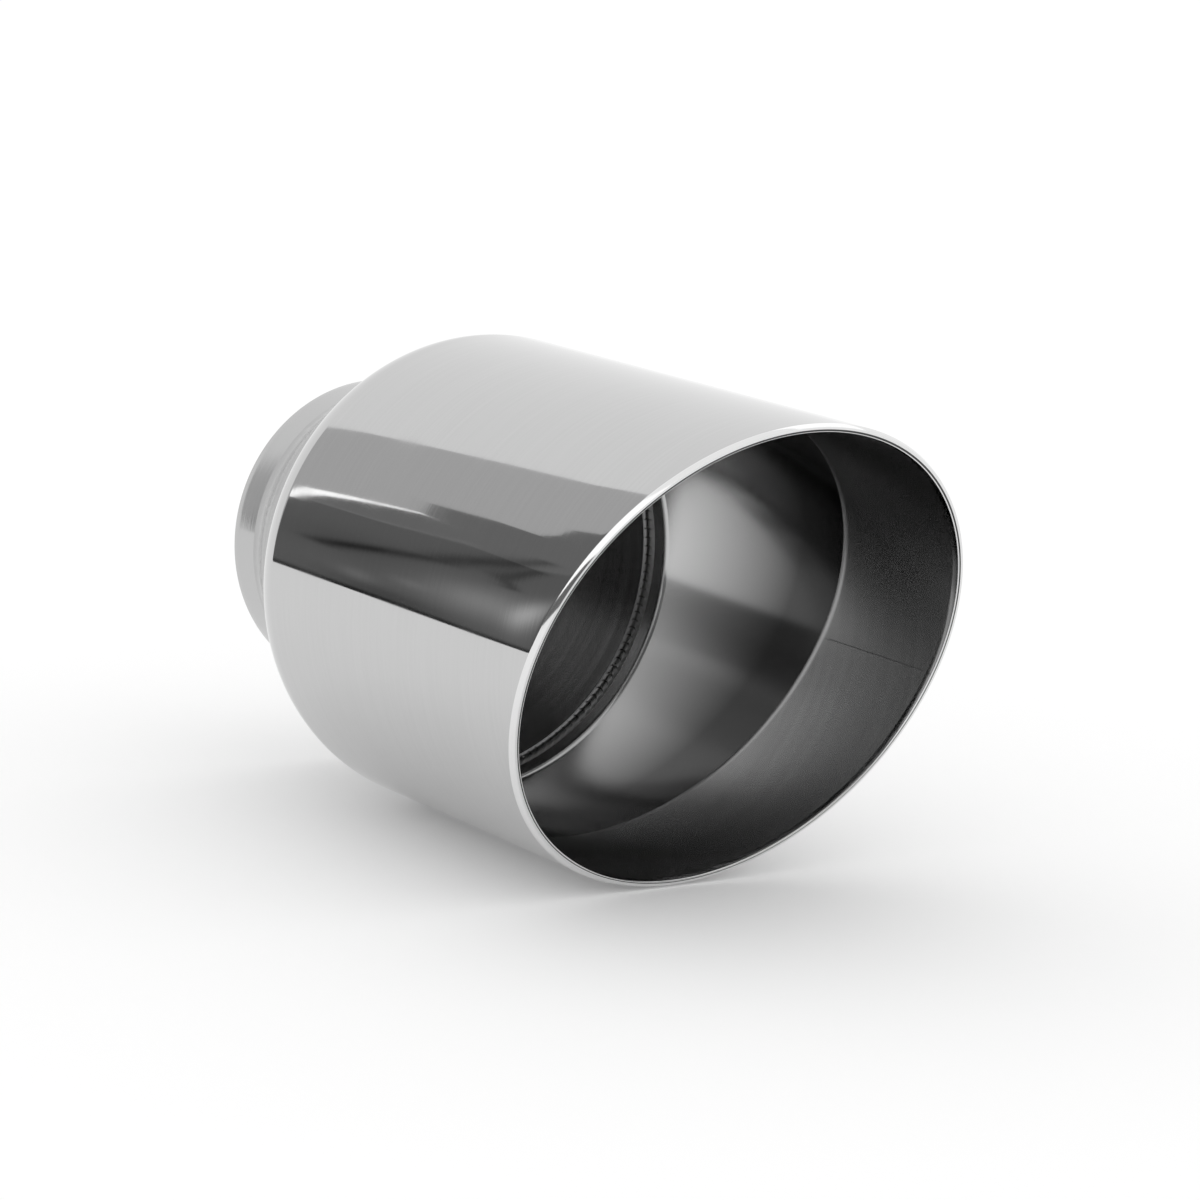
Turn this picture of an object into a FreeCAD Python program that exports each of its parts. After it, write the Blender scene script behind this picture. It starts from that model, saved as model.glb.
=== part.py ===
import FreeCAD, Part
import math
import os
import Sketcher

# Weld-on exhaust tip: a slant-cut outlet tube with its rear edge rolled in and a
# sleeve in its mouth, a tapered reducer and a short inlet collar, joined by two
# ring welds.
# The pipe axis lies along Y: the inlet opens towards +Y at the origin, the mouth
# faces -Y, and the long side of the slant is up (+Z). All sizes are in millimetres.

drivingSizes = {
    "outlet_dia": 88.9,       # outer diameter of the outlet tube
    "outlet_wall": 1.0,       # sheet thickness of the outlet tube
    "sleeve_wall": 0.5,       # sheet thickness of the sleeve inside the mouth
    "sleeve_depth": 35.0,     # how far the sleeve reaches in from the mouth
    "overall_length": 148.4,  # inlet face to the tip of the long side
    "mouth_slant": 23.1,      # degrees that the mouth leans back from square
    "rim_bevel": 0.35,        # polished bevel of the mouth's outer edge
    "roll_radius": 12.0,      # outer radius of the tube's rolled-in rear edge
    "taper_angle": 27.1,      # degrees between the reducer's wall and the axis
    "reducer_wall": 1.2,      # sheet thickness of the reducer
    "collar_bore": 57.4,      # slip bore for a 57.15 mm tail pipe
    "collar_wall": 1.2,       # thickness of the inlet collar
    "neck_length": 10.8,      # bare length of the collar behind the reducer
    "collar_reach": 1.0,      # how far the collar stands out inside the reducer
    "collar_gap": 0.1,        # play between the collar and the reducer's hole
    "collar_edge": 0.25,      # bevel of the deburred inlet edges
    "collar_weld_leg": 3.0,   # reach of the collar weld along collar and reducer
    "seam_width": 2.4,        # width of the weld between tube and reducer
    "seam_crown": 1.0,        # width of that weld's crown on the inside
    "seam_height": 0.6,       # how far the crown stands out of the wall
}

# Sizes that follow from the driving ones. A place along the axis is measured from
# the inlet face, and a radius from the axis.
derivedSizes = {
    "outlet_radius": "=outlet_dia / 2",
    "blank_length": "=overall_length + outlet_wall",
    "mouth_middle": "=overall_length - outlet_radius * tan(mouth_slant * 1 deg)",
    "mouth_top": "=mouth_middle + outlet_dia * tan(mouth_slant * 1 deg)",
    "mouth_bottom": "=mouth_middle - outlet_dia * tan(mouth_slant * 1 deg)",
    "waste_height": "=2 * outlet_dia",
    "sleeve_top": "=mouth_top - sleeve_depth",
    "sleeve_bottom": "=mouth_bottom - sleeve_depth",
    "sleeve_rear": "=mouth_middle - sleeve_depth - outlet_radius * tan(mouth_slant * 1 deg)",
    "sleeve_outside": "=outlet_radius - outlet_wall",
    "collar_inside": "=collar_bore / 2",
    "collar_outside": "=collar_inside + collar_wall",
    "hole_radius": "=collar_outside + collar_gap",
    "roll_end_radius": "=outlet_radius - roll_radius * (1 - cos(taper_angle * 1 deg))",
    "roll_end": "=neck_length + (roll_end_radius - hole_radius) / tan(taper_angle * 1 deg)",
    "roll_start": "=roll_end + roll_radius * sin(taper_angle * 1 deg)",
    "seam_end": "=roll_end - seam_width * cos(taper_angle * 1 deg)",
    "seam_end_radius": "=roll_end_radius - seam_width * sin(taper_angle * 1 deg)",
    "seam_slope": "=(seam_width - seam_crown) / 2",
    "seam_depth": "=max(outlet_wall; reducer_wall) + seam_height",
    "hole_depth": "=reducer_wall / sin(taper_angle * 1 deg)",
    "collar_length": "=neck_length + hole_depth + collar_reach",
    "weld_rear": "=neck_length - collar_weld_leg",
    "weld_front": "=neck_length + collar_weld_leg * cos(taper_angle * 1 deg)",
    "weld_front_radius": "=hole_radius + collar_weld_leg * sin(taper_angle * 1 deg)",
}

doc = FreeCAD.newDocument("exhaust_tip")
sheet = doc.addObject("Spreadsheet::Sheet", "Sizes")
for row, (name, value) in enumerate({**drivingSizes, **derivedSizes}.items(), start=1):
    sheet.set("A%d" % row, name)
    sheet.set("B%d" % row, str(value))
    sheet.setAlias("B%d" % row, name)
doc.recompute()


def size(name):
    """A size as the spreadsheet works it out."""
    return float(sheet.get(name))


def point(fromInlet, radius):
    """A point of a section, from its place along the axis and its radius."""
    return FreeCAD.Vector(-fromInlet, radius, 0)


def wallInward():
    """The direction square to the reducer's wall, from outside to inside."""
    taper = math.radians(size("taper_angle"))
    return FreeCAD.Vector(-math.sin(taper), -math.cos(taper), 0)


def newBody(name):
    """An empty body; its label names the file it is written to."""
    body = doc.addObject("PartDesign::Body", name)
    body.Label = name
    body.Placement = FreeCAD.Placement()
    return body


def newSketch(body, name):
    """A sketch on the body's own YZ plane, with Y to the right and Z up."""
    sketch = body.newObject("Sketcher::SketchObject", name)
    sidePlane = next(item for item in body.Origin.OriginFeatures if item.Role == "YZ_Plane")
    sketch.AttachmentSupport = [(sidePlane, "")]
    sketch.MapMode = "FlatFace"
    return sketch


def addLine(sketch, start, end):
    """Draw a straight edge and give its number."""
    return sketch.addGeometry(Part.LineSegment(start, end))


def addOutline(sketch, corners):
    """Draw a closed outline with straight sides and give the sides' numbers."""
    sides = [addLine(sketch, start, end) for start, end in zip(corners, corners[1:] + corners[:1])]
    for side, following in zip(sides, sides[1:] + sides[:1]):
        hold(sketch, "Coincident", side, 2, following, 1)
    return sides


def addArc(sketch, start, end, centre):
    """Draw an arc that turns anticlockwise from start to end and give its number."""
    first = math.atan2(start.y - centre.y, start.x - centre.x)
    last = math.atan2(end.y - centre.y, end.x - centre.x)
    if last < first:
        last += 2 * math.pi
    circle = Part.Circle(centre, FreeCAD.Vector(0, 0, 1), start.distanceToPoint(centre))
    return sketch.addGeometry(Part.ArcOfCircle(circle, first, last))


def hold(sketch, kind, *targets):
    """Add a constraint that has no size."""
    sketch.addConstraint(Sketcher.Constraint(kind, *targets))


def bind(sketch, label, kind, *targets):
    """Add a constraint whose size is the spreadsheet cell of the same name."""
    number = sketch.addConstraint(Sketcher.Constraint(kind, *targets, size(label)))
    sketch.renameConstraint(number, label)
    sketch.setExpression("Constraints." + label, "Sizes." + label)


def pinAlong(sketch, label, edge, end):
    """Hold a point at its distance from the inlet face."""
    bind(sketch, label, "DistanceX", edge, end, -1, 1)


def pinRadius(sketch, label, edge, end):
    """Hold a point at its distance from the axis."""
    bind(sketch, label, "DistanceY", -1, 1, edge, end)


def revolve(body, sketch, name):
    """Turn a half section fully round the pipe axis."""
    turned = body.newObject("PartDesign::Revolution", name)
    turned.Profile = sketch
    turned.ReferenceAxis = (sketch, ["H_Axis"])
    turned.Angle = 360
    doc.recompute()


def bevelRing(body, name, place, rims, width):
    """Bevel rims of a flat ring face: places count from the mouth, rims from the narrowest."""
    base = body.Tip
    flat = [face for face in base.Shape.Faces if isinstance(face.Surface, Part.Plane)]
    flat.sort(key=lambda face: face.CenterOfMass.y)
    wires = sorted(flat[place].Wires, key=lambda wire: wire.Length)
    picked = [edge for rim in rims for edge in wires[rim].Edges]
    names = [
        "Edge%d" % number
        for number, edge in enumerate(base.Shape.Edges, start=1)
        if any(edge.isSame(each) for each in picked)
    ]
    chamfer = body.newObject("PartDesign::Chamfer", name)
    chamfer.Base = (base, names)
    chamfer.setExpression("Size", width)
    doc.recompute()


def outletTube():
    """The wide tube: straight, rolled in at the rear and cut on a slant at the mouth."""
    body = newBody("outlet_tube")
    section = newSketch(body, "tube_section")
    outside, inside = size("outlet_radius"), size("outlet_radius") - size("outlet_wall")
    centre = point(size("roll_start"), outside - size("roll_radius"))
    outerFront = point(size("blank_length"), outside)
    outerRoll = point(size("roll_start"), outside)
    outerEnd = point(size("roll_end"), size("roll_end_radius"))
    innerEnd = outerEnd.add(wallInward() * size("outlet_wall"))
    innerRoll = point(size("roll_start"), inside)
    innerFront = point(size("blank_length"), inside)
    outer = addLine(section, outerFront, outerRoll)
    outerArc = addArc(section, outerEnd, outerRoll, centre)
    rear = addLine(section, outerEnd, innerEnd)
    innerArc = addArc(section, innerEnd, innerRoll, centre)
    inner = addLine(section, innerRoll, innerFront)
    front = addLine(section, innerFront, outerFront)
    hold(section, "Tangent", outer, 2, outerArc, 2)
    hold(section, "Coincident", outerArc, 1, rear, 1)
    hold(section, "Coincident", rear, 2, innerArc, 1)
    hold(section, "Tangent", innerArc, 2, inner, 1)
    hold(section, "Coincident", inner, 2, front, 1)
    hold(section, "Coincident", front, 2, outer, 1)
    hold(section, "Coincident", outerArc, 3, innerArc, 3)
    hold(section, "PointOnObject", outerArc, 3, rear)
    hold(section, "Horizontal", outer)
    hold(section, "Horizontal", inner)
    hold(section, "Vertical", front)
    pinAlong(section, "blank_length", outer, 1)
    pinRadius(section, "outlet_radius", outer, 1)
    pinAlong(section, "roll_start", outer, 2)
    pinAlong(section, "roll_end", rear, 1)
    bind(section, "roll_radius", "Radius", outerArc)
    bind(section, "outlet_wall", "DistanceY", inner, 1, outer, 2)
    revolve(body, section, "rolled_tube")
    slantCut(body, "mouth", True)
    bevelRing(body, "rim_bevel", 0, [1], "min(Sizes.rim_bevel; Sizes.outlet_wall * 0.45)")


def slantCut(body, name, aheadOfIt):
    """Cut all that lies ahead of, or behind, a slant that leans like the mouth."""
    waste = newSketch(body, name + "_waste")
    reach = size("outlet_dia")
    bottom, top = name + "_bottom", name + "_top"
    low, high = point(size(bottom), -reach), point(size(top), reach)
    if aheadOfIt:
        cut, upright, level = addOutline(waste, [low, high, point(size(top), -reach)])
    else:
        cut, level, upright = addOutline(waste, [low, high, point(size(bottom), reach)])
    hold(waste, "Vertical", upright)
    hold(waste, "Horizontal", level)
    pinAlong(waste, bottom, cut, 1)
    pinAlong(waste, top, cut, 2)
    pinRadius(waste, "outlet_dia", cut, 2)
    bind(waste, "waste_height", "DistanceY", cut, 1, cut, 2)
    whole = body.Shape.Volume
    pocket = body.newObject("PartDesign::Pocket", name + "_cut")
    pocket.Profile = waste
    pocket.SideType = "Symmetric"
    pocket.setExpression("Length", "Sizes.waste_height")
    doc.recompute()
    if body.Shape.Volume >= whole:
        raise ValueError("the %s cut took nothing off %s" % (name, body.Label))


def mouthSleeve():
    """The short sleeve inside the mouth, both of its ends on the mouth's slant."""
    body = newBody("mouth_sleeve")
    section = newSketch(body, "sleeve_section")
    outside = size("sleeve_outside")
    inside = outside - size("sleeve_wall")
    corners = [
        point(size("sleeve_rear"), inside),
        point(size("sleeve_rear"), outside),
        point(size("blank_length"), outside),
        point(size("blank_length"), inside),
    ]
    rear, outer, front, inner = addOutline(section, corners)
    hold(section, "Vertical", rear)
    hold(section, "Horizontal", outer)
    hold(section, "Vertical", front)
    hold(section, "Horizontal", inner)
    pinAlong(section, "sleeve_rear", rear, 1)
    pinRadius(section, "sleeve_outside", rear, 2)
    pinAlong(section, "blank_length", front, 1)
    bind(section, "sleeve_wall", "DistanceY", rear, 1, rear, 2)
    revolve(body, section, "sleeve_blank")
    slantCut(body, "mouth", True)
    slantCut(body, "sleeve", False)


def reducer():
    """The straight taper from the rolled tube down to the collar."""
    body = newBody("reducer")
    section = newSketch(body, "reducer_section")
    wideOuter = point(size("seam_end"), size("seam_end_radius"))
    corners = [
        wideOuter,
        point(size("neck_length"), size("hole_radius")),
        point(size("neck_length") + size("hole_depth"), size("hole_radius")),
        wideOuter.add(wallInward() * size("reducer_wall")),
    ]
    outer, hole, inner, wide = addOutline(section, corners)
    hold(section, "Horizontal", hole)
    hold(section, "Parallel", outer, inner)
    hold(section, "Perpendicular", outer, wide)
    pinAlong(section, "seam_end", outer, 1)
    pinRadius(section, "seam_end_radius", outer, 1)
    pinAlong(section, "neck_length", outer, 2)
    pinRadius(section, "hole_radius", outer, 2)
    bind(section, "reducer_wall", "Distance", wide)
    revolve(body, section, "tapered_wall")


def inletCollar():
    """The short collar that slips over the tail pipe, deburred at its opening."""
    body = newBody("inlet_collar")
    section = newSketch(body, "collar_section")
    corners = [
        point(0, size("collar_inside")),
        point(0, size("collar_outside")),
        point(size("collar_length"), size("collar_outside")),
        point(size("collar_length"), size("collar_inside")),
    ]
    opening, outer, front, inner = addOutline(section, corners)
    hold(section, "Horizontal", outer)
    hold(section, "Vertical", front)
    hold(section, "Horizontal", inner)
    hold(section, "PointOnObject", opening, 1, -2)
    pinRadius(section, "collar_inside", opening, 1)
    hold(section, "PointOnObject", opening, 2, -2)
    pinRadius(section, "collar_outside", opening, 2)
    pinAlong(section, "collar_length", front, 1)
    revolve(body, section, "collar_wall")
    bevelRing(body, "inlet_deburr", -1, [0, 1], "min(Sizes.collar_edge; Sizes.collar_wall * 0.45)")


def seamWeld():
    """The butt weld of tube and reducer: flush outside, a raised bead inside."""
    body = newBody("seam_weld")
    section = newSketch(body, "seam_section")
    tubeOuter = point(size("roll_end"), size("roll_end_radius"))
    reducerOuter = point(size("seam_end"), size("seam_end_radius"))
    inward = wallInward()
    alongWall = reducerOuter.sub(tubeOuter).normalize()
    crownStart = tubeOuter.add(inward * size("seam_depth")).add(alongWall * size("seam_slope"))
    corners = [
        tubeOuter,
        reducerOuter,
        reducerOuter.add(inward * size("reducer_wall")),
        crownStart.add(alongWall * size("seam_crown")),
        crownStart,
        tubeOuter.add(inward * size("outlet_wall")),
    ]
    flush, reducerSide, frontSlope, crown, rearSlope, tubeSide = addOutline(section, corners)
    hold(section, "Perpendicular", flush, reducerSide)
    hold(section, "Perpendicular", flush, tubeSide)
    hold(section, "Parallel", flush, crown)
    pinAlong(section, "roll_end", flush, 1)
    pinRadius(section, "roll_end_radius", flush, 1)
    pinAlong(section, "seam_end", flush, 2)
    pinRadius(section, "seam_end_radius", flush, 2)
    bind(section, "reducer_wall", "Distance", reducerSide)
    bind(section, "outlet_wall", "Distance", tubeSide)
    bind(section, "seam_crown", "Distance", crown)
    bind(section, "seam_slope", "Distance", crown, 2, tubeSide)
    bind(section, "seam_depth", "Distance", crown, 2, flush)
    revolve(body, section, "seam_ring")


def collarWeld():
    """The dressed fillet weld in the corner between collar and reducer."""
    body = newBody("collar_weld")
    section = newSketch(body, "weld_section")
    corners = [
        point(size("weld_rear"), size("collar_outside")),
        point(size("neck_length"), size("collar_outside")),
        point(size("neck_length"), size("hole_radius")),
        point(size("weld_front"), size("weld_front_radius")),
    ]
    onCollar, root, onReducer, face = addOutline(section, corners)
    hold(section, "Horizontal", onCollar)
    hold(section, "Vertical", root)
    pinAlong(section, "weld_rear", onCollar, 1)
    pinAlong(section, "neck_length", root, 1)
    pinRadius(section, "collar_outside", root, 1)
    pinRadius(section, "hole_radius", root, 2)
    pinAlong(section, "weld_front", face, 1)
    pinRadius(section, "weld_front_radius", face, 1)
    revolve(body, section, "weld_ring")


outletTube()
mouthSleeve()
reducer()
inletCollar()
seamWeld()
collarWeld()
doc.recompute()

for item in doc.Objects:
    if "Invalid" in item.State or "Error" in item.State:
        raise ValueError("%s did not compute" % item.Label)
    if item.TypeId == "Sketcher::SketchObject" and item.solve() != 0:
        raise ValueError("%s does not solve" % item.Label)

os.makedirs("parts", exist_ok=True)
for item in doc.Objects:
    if item.TypeId == "PartDesign::Body":
        if item.Shape.isNull() or not item.Shape.isValid() or len(item.Shape.Solids) != 1:
            raise ValueError("%s is not one valid solid" % item.Label)
        item.Shape.exportStep("parts/%s.step" % item.Label)
        print(item.Label, "%.1f mm3" % item.Shape.Volume)
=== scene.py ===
import math

import bpy
import numpy as np
from mathutils import Matrix, Vector


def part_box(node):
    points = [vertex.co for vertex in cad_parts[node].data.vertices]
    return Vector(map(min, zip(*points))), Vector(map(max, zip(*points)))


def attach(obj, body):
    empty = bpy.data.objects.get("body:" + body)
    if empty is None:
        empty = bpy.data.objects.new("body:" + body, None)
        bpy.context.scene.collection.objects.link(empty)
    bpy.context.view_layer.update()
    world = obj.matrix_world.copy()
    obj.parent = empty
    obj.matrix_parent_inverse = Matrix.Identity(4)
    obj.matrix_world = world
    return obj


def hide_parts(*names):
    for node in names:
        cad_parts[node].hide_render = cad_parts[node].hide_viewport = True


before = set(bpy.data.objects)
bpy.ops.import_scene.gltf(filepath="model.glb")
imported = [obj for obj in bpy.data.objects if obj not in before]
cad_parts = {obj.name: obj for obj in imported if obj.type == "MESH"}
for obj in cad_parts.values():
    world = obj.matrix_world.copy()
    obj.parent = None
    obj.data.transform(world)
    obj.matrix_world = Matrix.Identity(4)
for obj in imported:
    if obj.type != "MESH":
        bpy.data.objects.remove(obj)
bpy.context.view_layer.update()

# Exhaust tip: slant-cut outlet tube with a sleeve in its mouth, tapered reducer, inlet
# collar and their two welds.
# Metres. The pipe axis is Y, with the inlet at 0 and the mouth towards -Y; Z is up,
# on the long side of the slant. "along" is the distance from the inlet face.

mm = 0.001


def nodeReach(node):  # outer radius, rear end and front end of a ring-shaped node
    low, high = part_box(node)
    return high.z, -high.y, -low.y


outletRadius, rollEnd, tipEnd = nodeReach("outlet_tube")
collarRadius, inletFace, collarEnd = nodeReach("inlet_collar")
weldRadius, weldRear, weldFront = nodeReach("collar_weld")
neckEnd = nodeReach("reducer")[1]

sheet = {  # sizes that several pieces share
    "wall": 1.0 * mm,             # of the tube
    "sleeve": 0.5 * mm,           # of the sleeve
    "reducer": 1.2 * mm,          # of the reducer
    "taper": math.radians(27.1),  # between the reducer's wall and the axis
    "roll": 12.0 * mm,            # outer radius of the tube's rolled-in rear edge
    "slant": math.radians(23.1),  # how far the mouth leans back from square
    "tipTrim": 0.15 * mm,         # what the rim's rounding takes off the long side
    "seamWidth": 2.4 * mm,
}

taperWay = np.array([-math.cos(sheet["taper"]), -math.sin(sheet["taper"])])  # to the inlet
taperIn = np.array([math.sin(sheet["taper"]), -math.cos(sheet["taper"])])  # through the wall
rollPoint = np.array([rollEnd, outletRadius - sheet["roll"] * (1 - math.cos(sheet["taper"]))])
rollStart = rollEnd + sheet["roll"] * math.sin(sheet["taper"])
mouthMiddle = tipEnd + sheet["tipTrim"] - outletRadius * math.tan(sheet["slant"])


# Meshes

sharpAngle = math.radians(22)  # an edge that turns by more is shaded sharp


# A ring closed both ways: x = radius cos(angle), y = -along, z = radius sin(angle).
# along and radius have one row for each angle and one column for each point of the
# section, which runs forward outside and back inside; counts says how many of its points
# take the first finish, the second and so on.
def ringMesh(name, along, radius, angles, counts=()):
    turn = angles[:, None]
    points = np.stack([radius * np.cos(turn), -along, radius * np.sin(turn)], axis=-1)
    rows, columns = along.shape
    row, column = np.meshgrid(np.arange(rows), np.arange(columns), indexing="ij")
    nextRow, nextColumn = (row + 1) % rows, (column + 1) % columns
    corners = [(row, column), (nextRow, column), (nextRow, nextColumn), (row, nextColumn)]
    quads = np.stack([i * columns + j for i, j in corners], axis=-1).reshape(-1, 4)
    mesh = bpy.data.meshes.new(name)
    mesh.from_pydata(points.reshape(-1, 3), [], quads)
    if counts:
        which = np.repeat(np.arange(len(counts)), counts)
        mesh.polygons.foreach_set("material_index", np.tile(which, rows).astype(np.int32))
    mesh.shade_smooth()
    mesh.set_sharp_from_angle(angle=sharpAngle)
    piece = bpy.data.objects.new(name, mesh)
    bpy.context.scene.collection.objects.link(piece)
    return piece


def around(count):  # angles of a full turn
    return np.linspace(0, 2 * np.pi, count, endpoint=False)


def eased(start, end, count):  # s = (1 - cos(pi t)) / 2: points closest together at both ends
    t = np.linspace(0, 1, count)
    return start + (end - start) * (1 - np.cos(np.pi * t)) / 2


def spread(section, count):  # the same section at every angle
    points = np.array(section)
    return np.tile(points[:, 0], (count, 1)), np.tile(points[:, 1], (count, 1))


def edgeRing(along, radius):  # (along, radius) for each angle, at one radius
    return np.stack([along, np.full(len(along), radius)], axis=-1)


# Arc that touches both sides of a corner: centre + radius (slerp of u and v), where the
# centre lies radius / sin(opening / 2) along the corner's bisector. corner, backward and
# forward are (along, radius) for each angle; the last two are unit directions from the
# corner along its two sides.
def roundedCorner(corner, backward, forward, radius, count):
    cosine = (backward * forward).sum(-1, keepdims=True)
    opening = np.arccos(cosine)
    reach = radius / np.tan(opening / 2)
    bisector = backward + forward
    bisector = bisector / np.linalg.norm(bisector, axis=-1, keepdims=True)
    centre = corner + bisector * radius / np.sin(opening / 2)
    u = (corner + backward * reach - centre) / radius
    v = (corner + forward * reach - centre) / radius
    sweep = np.pi - opening
    t = np.linspace(0, 1, count)[None, :, None]
    s = sweep[:, None, :]
    arc = (np.sin((1 - t) * s) * u[:, None, :] + np.sin(t * s) * v[:, None, :]) / np.sin(s)
    return centre[:, None, :] + radius * arc


# Outlet tube

tube = {
    "angles": 384,
    "alongCount": 40,          # points along the straight wall
    "bunching": 1.8,           # 1 spaces them evenly, more draws them to the mouth
    "rollCount": 20,           # points of the rolled rear edge
    "bevelCount": 9,
    "bevelAlong": 1.05 * mm,   # polished bevel of the rim's outer edge, along the wall
    "bevelIn": 0.48 * mm,      # and across the rim
    "bevelCrown": 0.03 * mm,   # how far it bulges
    "polishReach": 1.6 * mm,   # how far the buffing wheel has rounded the wall over
    "polishDrop": 0.03 * mm,   # how much it took off at the edge
    "wideReach": 16 * mm,      # a slighter fall of the wall further back
    "wideDrop": 0.06 * mm,
    "innerRoll": 4.0 * mm,     # the sheet is creased tighter inside than outside
}


# Arc that rounds the corner of wall and taper, at a depth below their outside:
# along = start - radius sin(b), and radius (1 - cos(b)) below the wall, with b from the
# taper's angle to 0 and start = roll start - (roll - depth - radius) tan(taper / 2).
def rollArc(depth, radius, count):
    b = eased(sheet["taper"], 0, count)
    half = math.tan(sheet["taper"] / 2)
    start = rollStart - (sheet["roll"] - depth) * half + radius * half
    height = outletRadius - depth - radius * (1 - np.cos(b))
    return np.stack([start - radius * np.sin(b), height], axis=-1)


# Roll arc, straight run, bevel, rim and back inside. The mouth is at
# middle + radius sin(angle) tan(slant), the wall at radius - polish drop near^2 -
# wide drop wide^2, where near and wide rise from 0 to 1 at the rim, and the bevel at
# start + t (end - start) + 4 crown t (1 - t) square to it.
def makeOutletTube():
    angles = around(tube["angles"])
    lean = np.sin(angles) * math.tan(sheet["slant"])
    inside = outletRadius - sheet["wall"]
    rimRadius = outletRadius - tube["polishDrop"] - tube["wideDrop"]

    def mouth(radius):
        return mouthMiddle + radius * lean

    def height(gap):  # of the wall, at a distance from the rim
        near = np.clip(1 - gap / tube["polishReach"], 0, 1)
        wide = np.clip(1 - gap / tube["wideReach"], 0, 1)
        return outletRadius - tube["polishDrop"] * near ** 2 - tube["wideDrop"] * wide ** 2

    bevelTop = height(tube["bevelAlong"])
    bevelStart = edgeRing(mouth(rimRadius) - tube["bevelAlong"], bevelTop)[:, None]
    faceRadius = rimRadius - tube["bevelIn"]
    bevelEnd = edgeRing(mouth(faceRadius), faceRadius)[:, None]
    way = bevelEnd - bevelStart
    square = np.stack([-way[..., 1], way[..., 0]], axis=-1)
    square = square / np.linalg.norm(way, axis=-1, keepdims=True)
    u = np.linspace(0, 1, tube["bevelCount"])[None, :, None]
    outerRim = bevelStart + way * u + 4 * tube["bevelCrown"] * u * (1 - u) * square
    innerRim = edgeRing(mouth(inside), inside)[:, None]

    outerRoll = rollArc(0, sheet["roll"], tube["rollCount"])
    innerRoll = rollArc(sheet["wall"], tube["innerRoll"], tube["rollCount"])[::-1]
    innerRoll = np.concatenate([innerRoll, [rollPoint + taperIn * sheet["wall"]]])
    t = np.linspace(0, 1, tube["alongCount"])[1:-1]
    t = 1 - (1 - t) ** tube["bunching"]
    end = outerRim[:, :1, 0]
    straight = rollStart + (end - rollStart) * t[None, :]
    outerRun = np.stack([straight, height(end - straight + tube["bevelAlong"])], axis=-1)
    back = innerRim[:, -1:, 0] + (innerRoll[0, 0] - innerRim[:, -1:, 0]) * t[None, :]
    innerRun = np.stack([back, np.full(back.shape, inside)], axis=-1)

    def band(points):
        return np.tile(points[None], (len(angles), 1, 1))

    parts = [band(outerRoll), outerRun, outerRim, innerRim, innerRun, band(innerRoll)]
    loop = np.concatenate(parts, axis=1)
    inward = innerRun.shape[1] + len(innerRoll) + 1
    face = outerRim.shape[1] + 1  # the bevel and the rim's face
    counts = [loop.shape[1] - inward - face, face, inward]
    return ringMesh("outletTube", loop[..., 0], loop[..., 1], angles, counts)


# Mouth sleeve

sleeve = {
    "angles": 384,
    "count": 24,              # points along it
    "depth": 35 * mm,         # from the mouth, along the pipe
    "rimEdge": 0.25 * mm,     # rounding of the rim's inner edge
    "edgeCount": 7,
    "fadeReach": 2.2 * mm,    # the edge deep in the tube falls away over this length
    "fadeDrop": 0.37 * mm,    # and by this much
    "fadeCount": 12,
    "joint": math.radians(-8),  # where the rolled sheet's two edges meet
    "jointWidth": 0.4 * mm,
    "jointDepth": 0.04 * mm,
    "jointCount": 9,
}


# A thin tube between two slants, depth apart: middle + radius sin(angle) tan(slant).
# Its rear edge falls by drop t^2, and its joint is a groove in the inner face,
# depth (1 - (turn / half width)^2).
def makeMouthSleeve():
    step = sleeve["jointWidth"] / outletRadius
    angles = around(sleeve["angles"])
    angles = angles[abs(np.sin((angles - sleeve["joint"]) / 2)) > step]
    across = step * np.linspace(-1, 1, sleeve["jointCount"])
    angles = np.sort(np.concatenate([angles, sleeve["joint"] + 2 * np.pi + across]))
    lean = np.sin(angles) * math.tan(sheet["slant"])
    outside = outletRadius - sheet["wall"]
    inside = outside - sheet["sleeve"]

    def corner(radius, depth):
        return edgeRing(mouthMiddle - depth + radius * lean, radius)

    ahead = np.tile(np.array([1.0, 0.0]), (len(angles), 1))
    outward = np.stack([lean, np.ones_like(lean)], axis=-1)
    outward /= np.linalg.norm(outward, axis=-1, keepdims=True)
    front = roundedCorner(corner(inside, 0), outward, -ahead, sleeve["rimEdge"],
                          sleeve["edgeCount"])
    fall = np.linspace(0, 1, sleeve["fadeCount"])
    rear = corner(inside, sleeve["depth"])[:, None] + np.stack(
        [sleeve["fadeReach"] * (1 - fall), sleeve["fadeDrop"] * fall ** 2], axis=-1)
    t = np.linspace(0, 1, sleeve["count"])[None, 1:-1, None]
    inner = front[:, -1:] + (rear[:, :1] - front[:, -1:]) * t
    rearOuter, frontOuter = (corner(outside, sleeve["depth"])[:, None],
                             corner(outside, 0)[:, None])
    outer = rearOuter + (frontOuter - rearOuter) * t
    turn = (angles - sleeve["joint"] + np.pi) % (2 * np.pi) - np.pi
    groove = sleeve["jointDepth"] * np.clip(1 - (2 * turn / step) ** 2, 0, 1)
    inner[..., 1] += groove[:, None]
    loop = np.concatenate([rearOuter, outer, frontOuter, front, inner, rear], axis=1)
    inward = inner.shape[1] + rear.shape[1]
    face = front.shape[1]
    counts = [loop.shape[1] - inward - face, face, inward]
    return ringMesh("mouthSleeve", loop[..., 0], loop[..., 1], angles, counts)


# Reducer

reducer = {
    "angles": 320,
    "count": 12,  # points along the taper
}


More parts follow.
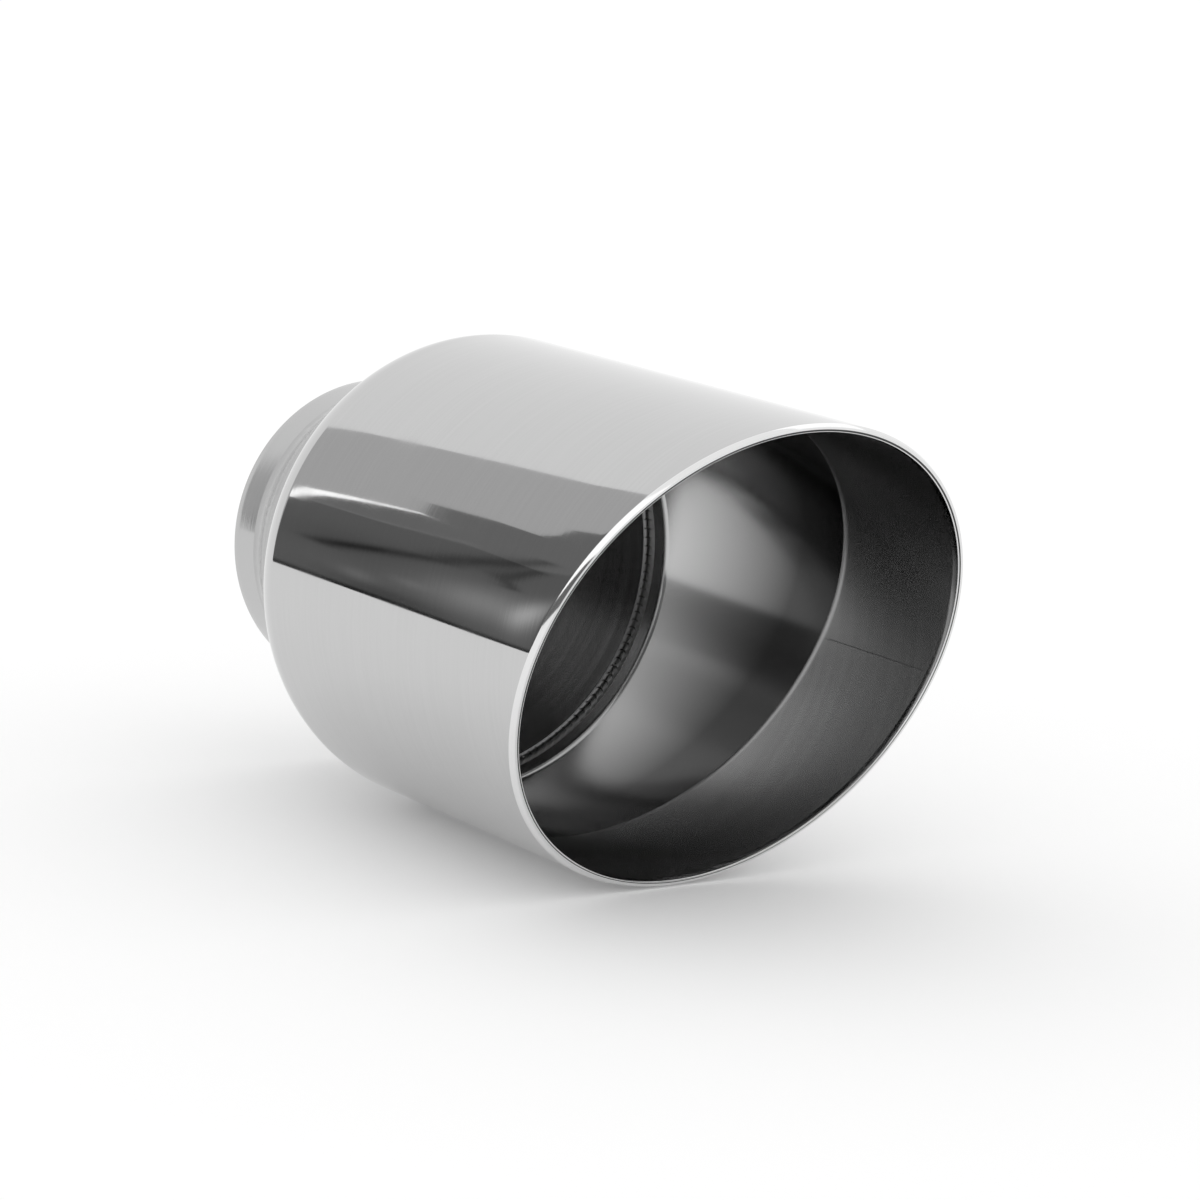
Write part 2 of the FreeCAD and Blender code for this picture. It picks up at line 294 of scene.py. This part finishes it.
# Straight taper: wide edge + t (narrow edge - wide edge), outside and inside.
def makeReducer():
    wide = rollPoint + taperWay * sheet["seamWidth"]
    length = (wide[0] - neckEnd) / -taperWay[0]
    narrow = wide + taperWay * length
    wideInside = wide + taperIn * sheet["reducer"]
    narrowInside = narrow + np.array([sheet["reducer"] / math.sin(sheet["taper"]), 0])
    t = np.linspace(0, 1, reducer["count"])[:, None]
    outer = narrow + (wide - narrow) * t
    inner = wideInside + (narrowInside - wideInside) * t
    along, radius = spread(np.concatenate([outer, inner]), reducer["angles"])
    counts = [len(outer), len(inner)]
    return ringMesh("taperedReducer", along, radius, around(reducer["angles"]), counts)


# Inlet collar

collar = {
    "angles": 320,
    "wall": 1.2 * mm,
    "edge": 0.25 * mm,  # rounding of the deburred opening
    "edgeCount": 6,
    "count": 10,        # points along it
}


# A ring with straight walls; its rear edges are quarter circles, edge sin(q) and cos(q).
def makeCollar():
    e, inside = collar["edge"], collarRadius - collar["wall"]
    q = np.linspace(0, np.pi / 2, collar["edgeCount"])
    innerEdge = np.stack([inletFace + e - e * np.sin(q), inside + e - e * np.cos(q)], axis=-1)
    outerEdge = np.stack([inletFace + e - e * np.cos(q), collarRadius - e + e * np.sin(q)], axis=-1)
    outerEnd, innerEnd = np.array([collarEnd, collarRadius]), np.array([collarEnd, inside])
    t = np.linspace(0, 1, collar["count"])[1:, None]
    outerRun = outerEdge[-1] + (outerEnd - outerEdge[-1]) * t
    innerRun = innerEnd + (innerEdge[0] - innerEnd) * (t - t[0])
    section = np.concatenate([innerEdge, outerEdge, outerRun, innerRun])
    along, radius = spread(section, collar["angles"])
    return ringMesh("inletCollar", along, radius, around(collar["angles"]))


# Seam weld between tube and reducer

seam = {
    "angles": 1500,
    "ripples": 150,       # ripples of the bead in a full turn
    "height": 0.58 * mm,  # of the bead's crown
    "depth": 0.3,         # share of the height that a ripple falls by
    "bow": 0.5,           # how far a ripple's front bows ahead at its middle, in ripples
    "across": 13,         # points across the bead
    "drift": ((0.35, 3, 1), (0.2, 7, 2)),  # uneven travel: ripples, waves in a turn, start
}


# Bead height = crown (1 - x^2) (1 - depth saw^2), where saw is the fraction of
# ripples turn + drift + bow x^2, and drift a sum of reach sin(waves angle + start).
def makeSeamWeld():
    turns = around(seam["angles"])
    x = np.linspace(-1, 1, seam["across"])[None, :]
    turn = turns[:, None] / (2 * np.pi)
    drift = sum(reach * np.sin(waves * turns + start) for reach, waves, start in seam["drift"])
    saw = np.mod(seam["ripples"] * turn + drift[:, None] + seam["bow"] * x ** 2, 1)
    crown = seam["height"] * (1 - x ** 2) * (1 - seam["depth"] * saw ** 2)
    share = (x[..., None] + 1) / 2
    base = sheet["wall"] + share * (sheet["reducer"] - sheet["wall"])
    bead = rollPoint + share * sheet["seamWidth"] * taperWay + (base + crown[..., None]) * taperIn
    flush = np.stack([rollPoint + taperWay * sheet["seamWidth"], rollPoint])
    outside = np.tile(flush[None], (len(turns), 1, 1))
    loop = np.concatenate([outside, bead], axis=1)
    counts = [len(flush), seam["across"]]
    return ringMesh("seamWeld", loop[..., 0], loop[..., 1], turns, counts)


# Collar weld

fillet = {
    "angles": 720,
    "count": 12,          # points across its face
    "dip": 0.2 * mm,      # hollow of the dressed face
    "grain": 0.03 * mm,   # unevenness left by the grinder
    "seed": 11,
    "waves": 24,          # that make up the grain
    "perTurn": (5, 90),   # fewest and most crests of a wave in a turn
    "skew": 5,            # how far a wave turns from edge to edge, in radians
    "swing": 3,           # of the grain about its mean
}


# Face = rear + t (front - rear), sunk by (dip + grain (1 + swing mean wave)) sin(pi t).
def makeCollarWeld():
    rng = np.random.default_rng(fillet["seed"])
    angles = around(fillet["angles"])
    rear = np.array([weldRear, collarRadius])
    front = np.array([weldFront, weldRadius])
    root = np.array([neckEnd, collarRadius])
    way = (front - rear) / np.linalg.norm(front - rear)
    inward = np.array([way[1], -way[0]])
    t = np.linspace(0, 1, fillet["count"])[None, :]
    phase = rng.uniform(0, 2 * np.pi, fillet["waves"])
    order = rng.integers(*fillet["perTurn"], fillet["waves"])
    wave = np.cos(angles[:, None, None] * order + phase + fillet["skew"] * t[..., None])
    grain = fillet["grain"] * (1 + wave.mean(axis=-1) * fillet["swing"])
    sink = fillet["dip"] * np.sin(np.pi * t) + grain * np.sin(np.pi * t)
    face = rear + t[..., None] * (front - rear) + sink[..., None] * inward
    loop = np.concatenate([face, np.tile(root[None, None], (len(angles), 1, 1))], axis=1)
    return ringMesh("collarWeld", loop[..., 0], loop[..., 1], angles)


outletTube = makeOutletTube()
mouthSleeve = makeMouthSleeve()
taperedReducer = makeReducer()
inletCollar = makeCollar()
seamWeld = makeSeamWeld()
collarWeld = makeCollarWeld()
print("pieces made")


# Finishes, two of them with painted shade and one with a painted highlight

# roughness: of the glossier and the duller patches
# lines, wave: height and spacing of the brush lines and of the slow wave
# grain: share by which streaks are lighter or darker, and their spacing
# paintedShade: two distances from the inlet, measured parallel to the mouth, between which the
# steel is painted down to a share of its grey: painted shade, darker towards the mouth
finishes = {
    "polishedSteel": {
        "grey": 0.555, "roughness": (0.03, 0.065), "grain": (0.014, 0.0006),
        "lines": (8e-7, 0.0006), "wave": (7e-6, 0.03),
    },
    # painted shade: the tube's inside is painted darker towards the mouth
    "shadedInsideSteel": {"grey": 0.5, "roughness": (0.15, 0.15), "paintedShade": (0.042, 0.082, 0.13)},
    # painted shade: the reducer's inside gets about half the grey of its polished outside
    "shadedConeSteel": {"grey": 0.28, "roughness": (0.2, 0.2), "grain": (0.2, 0.0012)},
    "sleeveSteel": {"grey": 0.34, "roughness": (0.27, 0.27), "grain": (0.05, 0.0018)},
    # the rims' own polish plus a painted highlight: their grey is raised above the other steel's
    "rimSteelHighlight": {"grey": 0.78, "roughness": (0.08, 0.12)},
    "collarSteel": {
        "grey": 0.49, "roughness": (0.08, 0.18), "lines": (3e-6, 0.0004), "wave": (1e-5, 0.02),
    },
    "seamSteel": {"grey": 0.24, "roughness": (0.25, 0.45), "wave": (3e-5, 0.002)},
    "filletSteel": {
        "grey": 0.38, "roughness": (0.12, 0.34), "lines": (4e-6, 0.0006), "wave": (2.5e-5, 0.0016),
    },
}

pattern = {  # shared by the finishes
    "lineStretch": 60,       # how many times longer a brush line is than wide
    "grainStretch": 40,      # and a streak
    "glossScale": (25, 60, 25),
    "waveDetail": 1, "lineDetail": 2, "patchDetail": 3,
    "noiseRange": (0.35, 0.7),  # the part of the noise that a range is spread over
}


# Metal. Bump = height noise(place / spacing), a range = low + (high - low) noise, and the
# painted shade goes with the dot product of place and (0, -1, -tan(slant)).
def steel(name):
    look = finishes[name]
    grey = look["grey"]
    material = bpy.data.materials.new(name)
    material.use_nodes = True
    tree = material.node_tree
    shader = tree.nodes["Principled BSDF"]
    shader.inputs["Base Color"].default_value = (grey, grey, grey, 1)
    shader.inputs["Metallic"].default_value = 1
    place = tree.nodes.new("ShaderNodeTexCoord").outputs["Object"]

    def noise(scale, detail):
        stretch = tree.nodes.new("ShaderNodeVectorMath")
        stretch.operation = "MULTIPLY"
        stretch.inputs[1].default_value = scale
        tree.links.new(place, stretch.inputs[0])
        texture = tree.nodes.new("ShaderNodeTexNoise")
        texture.inputs["Scale"].default_value = 1
        texture.inputs["Detail"].default_value = detail
        tree.links.new(stretch.outputs[0], texture.inputs["Vector"])
        return texture.outputs[0]

    def streaks(spacing, stretch, detail):  # noise drawn out round the pipe
        across = 1 / spacing
        return noise((across / stretch, across, across / stretch), detail)

    def bump(height, distance, before):
        node = tree.nodes.new("ShaderNodeBump")
        node.inputs["Strength"].default_value = 1
        node.inputs["Distance"].default_value = distance
        tree.links.new(height, node.inputs["Height"])
        if before:
            tree.links.new(before, node.inputs["Normal"])
        return node.outputs[0]

    def between(low, high, value, limits, socket):  # low to high as the value rises
        ramp = tree.nodes.new("ShaderNodeMapRange")
        ramp.inputs["From Min"].default_value, ramp.inputs["From Max"].default_value = limits
        ramp.inputs["To Min"].default_value, ramp.inputs["To Max"].default_value = low, high
        tree.links.new(value, ramp.inputs["Value"])
        tree.links.new(ramp.outputs[0], socket)

    normal = None
    if "wave" in look:
        height, spacing = look["wave"]
        normal = bump(noise((1 / spacing,) * 3, pattern["waveDetail"]), height, normal)
    if "lines" in look:
        height, spacing = look["lines"]
        lines = streaks(spacing, pattern["lineStretch"], pattern["lineDetail"])
        normal = bump(lines, height, normal)
    if normal:
        tree.links.new(normal, shader.inputs["Normal"])

    smooth, rough = look["roughness"]
    if smooth == rough:
        shader.inputs["Roughness"].default_value = smooth
    else:
        patches = noise(pattern["glossScale"], pattern["patchDetail"])
        between(smooth, rough, patches, pattern["noiseRange"], shader.inputs["Roughness"])
    # painted shade: the base colour darkens with the distance from the inlet, measured parallel to
    # the mouth
    if "paintedShade" in look:
        start, end, share = look["paintedShade"]
        measure = tree.nodes.new("ShaderNodeVectorMath")
        measure.operation = "DOT_PRODUCT"
        measure.inputs[1].default_value = (0, -1, -math.tan(sheet["slant"]))
        tree.links.new(place, measure.inputs[0])
        distance = measure.outputs["Value"]
        between(grey, grey * share, distance, (start, end), shader.inputs["Base Color"])
    if "grain" in look:
        share, spacing = look["grain"]
        lines = streaks(spacing, pattern["grainStretch"], pattern["patchDetail"])
        between(grey * (1 - share), grey * (1 + share), lines, pattern["noiseRange"],
                shader.inputs["Base Color"])
    return material


finish = {name: steel(name) for name in finishes}
for piece, node, slot, names in (
    (outletTube, "outlet_tube", "polished_steel", ("polishedSteel", "rimSteelHighlight", "shadedInsideSteel")),
    (mouthSleeve, "mouth_sleeve", "sleeve_steel", ("shadedInsideSteel", "rimSteelHighlight", "sleeveSteel")),
    (taperedReducer, "reducer", "polished_steel", ("polishedSteel", "shadedConeSteel")),
    (inletCollar, "inlet_collar", "collar_steel", ("collarSteel",)),
    (seamWeld, "seam_weld", "weld_steel", ("polishedSteel", "seamSteel")),
    (collarWeld, "collar_weld", "weld_steel", ("filletSteel",)),
):
    for name in names:
        piece.data.materials.append(finish[name])
    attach(piece, "root")
    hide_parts(node)
print("finishes made")


# Studio: a white floor under a white sky, with a dark room to the left and in front that
# only the steel mirrors. Places are (azimuth in degrees, height): azimuth 0 is in front of
# the mouth and 90 at +X.

table = -outletRadius  # the tube's lowest line rests on it

studio = {
    "floorReach": 30,
    "middle": -0.065,        # y of the upright axis that the walls stand round
    "wallRadius": 0.6,
    "boxRadius": 0.65,
    "slitRadius": 0.59,
    "alongWall": 30,         # points between two places of a wall's edge
    "acrossWall": 90,        # and from one edge to the other
    "darkGrey": 0.15,
    "leastGrey": 0.02,
    "stripGrey": 0.58,
    "frontGrey": 0.08,
    "boxGlow": 1.3,          # the softbox that the rim mirrors
    "slitGlow": 1.8,
    "cardReach": 3,          # dark sheet on the table, in front of the mouth
    "cardEdge": -0.27,
    "cardLift": 0.5 * mm,
}

room = {
    # edge between the grey strip and the dark wall
    "stripEdge": [
        (-150, table), (-149.3, 0.06), (-149.2, 0.137), (-149.8, 0.17), (-149.3, 0.2),
        (-148.8, 0.22), (-150.8, 0.255), (-150, 0.28), (-148.9, 0.288), (-149.5, 0.31),
        (-151.2, 0.342), (-152, 0.5),
    ],
    # rear edge of the strip, met at the heights of the one above
    "rearEdge": [
        (-150, table), (-152, 0.06), (-156, 0.19), (-161.5, 0.3), (-163.5, 0.335),
        (-162.8, 0.4), (-164.2, 0.44), (-166.8, 0.468), (-168, 0.5),
    ],
    "darkEnd": -125,         # azimuth where the dark wall ends
    "leftWall": (
        [(-125, table), (-100, table), (-80, table), (-55, table)],
        [(-125, 0.02), (-100, 0.02), (-80, 0.18), (-55, 0.2)],
    ),
    "frontWall": (
        [(-55, table), (-30, table), (20, table), (75, table)],
        [(-55, 0.2), (-30, 0.22), (20, 0.3), (75, 0.3)],
    ),
    "softbox": (
        [(-128, 0.02), (-100, 0.02), (-80, 0.2), (-40, 0.25), (0, 0.35), (40, 0.42), (130, 0.5)],
        [(-128, 0.8), (-100, 0.82), (-80, 0.85), (-40, 0.95), (0, 1.1), (40, 1.25), (130, 1.5)],
    ),
    "lightSlit": (
        [(-149.7, 0.13), (-150.3, 0.165), (-149.8, 0.19), (-149.0, 0.218)],
        [(-149.2, 0.13), (-149.5, 0.165), (-149.3, 0.19), (-148.8, 0.218)],
    ),
}

darkWall = {
    # soft patches: azimuth, height, their widths, change of grey
    "patches": (
        (-145.5, 0.075, 2.0, 0.04, -0.03), (-141, 0.05, 1.5, 0.045, 0.17),
        (-143.5, -0.025, 2.0, 0.02, -0.06), (-139.2, 0.06, 0.7, 0.05, 0.4),
        (-144.5, 0.0, 0.5, 0.015, 0.07), (-143, 0.028, 0.4, 0.012, 0.07),
    ),
    # folds: line, width in degrees, change of grey
    "folds": (
        (((-146, 0.052), (-144.8, 0.088), (-143.8, 0.119), (-143.8, 0.168), (-144.2, 0.223)),
         0.5, -0.10),
        (((-141.4, 0.119), (-142.3, 0.136), (-142.8, 0.188)), 0.4, -0.09),
        (((-149.3, 0.141), (-147.3, 0.159), (-145.8, 0.187)), 0.12, 0.12),
    ),
    "foldEnd": 0.008,        # a fold fades out over this height
    # a lighter sheet lies behind this line
    "sheet": (
        (-150, 0.13), (-149.3, 0.141), (-147.3, 0.159), (-145.8, 0.187), (-143.1, 0.193),
        (-141, 0.25),
    ),
    "sheetGrey": 0.05,
    "sheetEdge": 0.4,        # softness of its edge, in degrees
    "foot": (0.11, 0.004, 0.006),  # darker near the table: by this grey, height, width
}


def emitter(name, grey, attribute=None):  # even grey, or the attribute's own value
    material = bpy.data.materials.new(name)
    material.use_nodes = True
    tree = material.node_tree
    tree.nodes.clear()
    glow = tree.nodes.new("ShaderNodeEmission")
    glow.inputs["Color"].default_value = (grey, grey, grey, 1)
    out = tree.nodes.new("ShaderNodeOutputMaterial")
    tree.links.new(glow.outputs[0], out.inputs["Surface"])
    if attribute:
        shade = tree.nodes.new("ShaderNodeAttribute")
        shade.attribute_name = attribute
        tree.links.new(shade.outputs["Fac"], glow.inputs["Strength"])
    return material


def mirrored(name, mesh):  # a panel that only the steel sees
    panel = bpy.data.objects.new(name, mesh)
    panel.visible_camera = False
    panel.visible_diffuse = False
    panel.visible_shadow = False
    bpy.context.scene.collection.objects.link(panel)


# Grey of the dark wall = level + change exp(-(step / width)^2) for each patch and fold,
# lighter behind the sheet's line and darker near the table.
def roomGrey(azimuth, height):
    grey = np.full(azimuth.shape, studio["darkGrey"])
    for middle, level, width, reach, change in darkWall["patches"]:
        off, above = (azimuth - middle) / width, (height - level) / reach
        grey += change * np.exp(-off ** 2 - above ** 2)
    for points, width, change in darkWall["folds"]:
        where, level = np.array(points).T
        off = azimuth - np.interp(height, level, where)
        past = np.maximum(level[0] - height, height - level[-1]).clip(0) / darkWall["foldEnd"]
        grey += change * np.exp(-(off / width) ** 2 - past ** 2)
    where, level = np.array(darkWall["sheet"]).T
    behind = (np.interp(height, level, where) - azimuth) / darkWall["sheetEdge"] + 0.5
    grey += darkWall["sheetGrey"] * behind.clip(0, 1)
    change, level, width = darkWall["foot"]
    grey -= change * np.exp(-((height - table - level) / width) ** 2)
    return grey.clip(studio["leastGrey"])


# A strip of an upright cylinder between two edges: x = radius sin(azimuth), y = middle -
# radius cos(azimuth), and place = edge A + share (edge B - edge A). Each edge is a list of
# places; grey is a number, or a function of azimuth and height.
def wallPanel(name, edgeA, edgeB, grey, radius):
    spans = len(edgeA) - 1
    mark = np.linspace(0, spans, studio["alongWall"] * spans + 1)
    a, b = (np.stack([np.interp(mark, np.arange(spans + 1), column)
                      for column in np.array(edge, dtype=float).T], axis=-1)
            for edge in (edgeA, edgeB))
    share = np.linspace(0, 1, studio["acrossWall"])[None, :, None]
    grid = a[:, None] * (1 - share) + b[:, None] * share
    azimuth, height = np.radians(grid[..., 0]), grid[..., 1]
    y = studio["middle"] - radius * np.cos(azimuth)
    points = np.stack([radius * np.sin(azimuth), y, height], axis=-1)
    rows, columns = azimuth.shape
    row, column = np.meshgrid(np.arange(rows - 1), np.arange(columns - 1), indexing="ij")
    corner = row * columns + column
    quads = np.stack([corner, corner + 1, corner + columns + 1, corner + columns], axis=-1)
    mesh = bpy.data.meshes.new(name)
    mesh.from_pydata(points.reshape(-1, 3), [], quads.reshape(-1, 4))
    if callable(grey):
        shade = mesh.attributes.new("shade", "FLOAT", "POINT")
        shade.data.foreach_set("value", grey(grid[..., 0], height).ravel().astype(np.float32))
        mesh.materials.append(emitter(name, 1, "shade"))
    else:
        mesh.materials.append(emitter(name, grey))
    mirrored(name, mesh)


def flatSheet(name, reach, back, z):  # x from -reach to reach, y from -reach to back
    mesh = bpy.data.meshes.new(name)
    corners = [(-reach, -reach, z), (reach, -reach, z), (reach, back, z), (-reach, back, z)]
    mesh.from_pydata(corners, [], [(0, 1, 2, 3)])
    return mesh


stripEdge = room["stripEdge"]
rearPlace, rearHeight = np.array(room["rearEdge"]).T
rearEdge = [(np.interp(height, rearHeight, rearPlace), height) for place, height in stripEdge]
leftEdge = [(room["darkEnd"], height) for place, height in stripEdge]
for name, edges, grey, radius in (
    ("greyStrip", (rearEdge, stripEdge), studio["stripGrey"], studio["wallRadius"]),
    ("darkWall", (stripEdge, leftEdge), roomGrey, studio["wallRadius"]),
    ("leftWall", room["leftWall"], studio["darkGrey"], studio["wallRadius"]),
    ("frontWall", room["frontWall"], studio["frontGrey"], studio["wallRadius"]),
    ("softbox", room["softbox"], studio["boxGlow"], studio["boxRadius"]),
    ("lightSlit", room["lightSlit"], studio["slitGlow"], studio["slitRadius"]),
):
    wallPanel(name, *edges, grey, radius)

cardHeight = table + studio["cardLift"]
cardMesh = flatSheet("frontCard", studio["cardReach"], studio["cardEdge"], cardHeight)
cardMesh.materials.append(emitter("frontCard", studio["frontGrey"]))
mirrored("frontCard", cardMesh)

floorPaper = {"grey": 0.9, "glow": 0.12}

paper = bpy.data.materials.new("paper")
paper.use_nodes = True
shader = paper.node_tree.nodes["Principled BSDF"]
grey = floorPaper["grey"]
shader.inputs["Base Color"].default_value = (grey, grey, grey, 1)
shader.inputs["Roughness"].default_value = 1
shader.inputs["Specular IOR Level"].default_value = 0
shader.inputs["Emission Color"].default_value = (1, 1, 1, 1)
shader.inputs["Emission Strength"].default_value = floorPaper["glow"]

floorMesh = flatSheet("floor", studio["floorReach"], studio["floorReach"], table)
floorMesh.materials.append(paper)
floor = bpy.data.objects.new("floor", floorMesh)
bpy.context.scene.collection.objects.link(floor)

world = bpy.data.worlds.new("world")
bpy.context.scene.world = world
world.use_nodes = True
world.node_tree.nodes["Background"].inputs["Color"].default_value = (1, 1, 1, 1)
world.node_tree.nodes["Background"].inputs["Strength"].default_value = 1.0
print("studio made")


# Camera, from the photograph's edges

camera = {
    "place": (-0.43473, -0.75505, 0.16180),
    "right": (0.843197, -0.536001, 0.041491),
    "up": (0.070689, 0.187048, 0.979804),
    "lens": 136.14,
    "sensor": 36,
}
lens = bpy.data.cameras.new("camera")
lens.sensor_width = camera["sensor"]
lens.lens = camera["lens"]
viewer = bpy.data.objects.new("camera", lens)
bpy.context.scene.collection.objects.link(viewer)
right, up = Vector(camera["right"]), Vector(camera["up"])
turn = Matrix((right, up, right.cross(up))).transposed()
viewer.matrix_world = Matrix.Translation(camera["place"]) @ turn.to_4x4()
bpy.context.scene.camera = viewer
bpy.context.scene.view_settings.view_transform = "Standard"
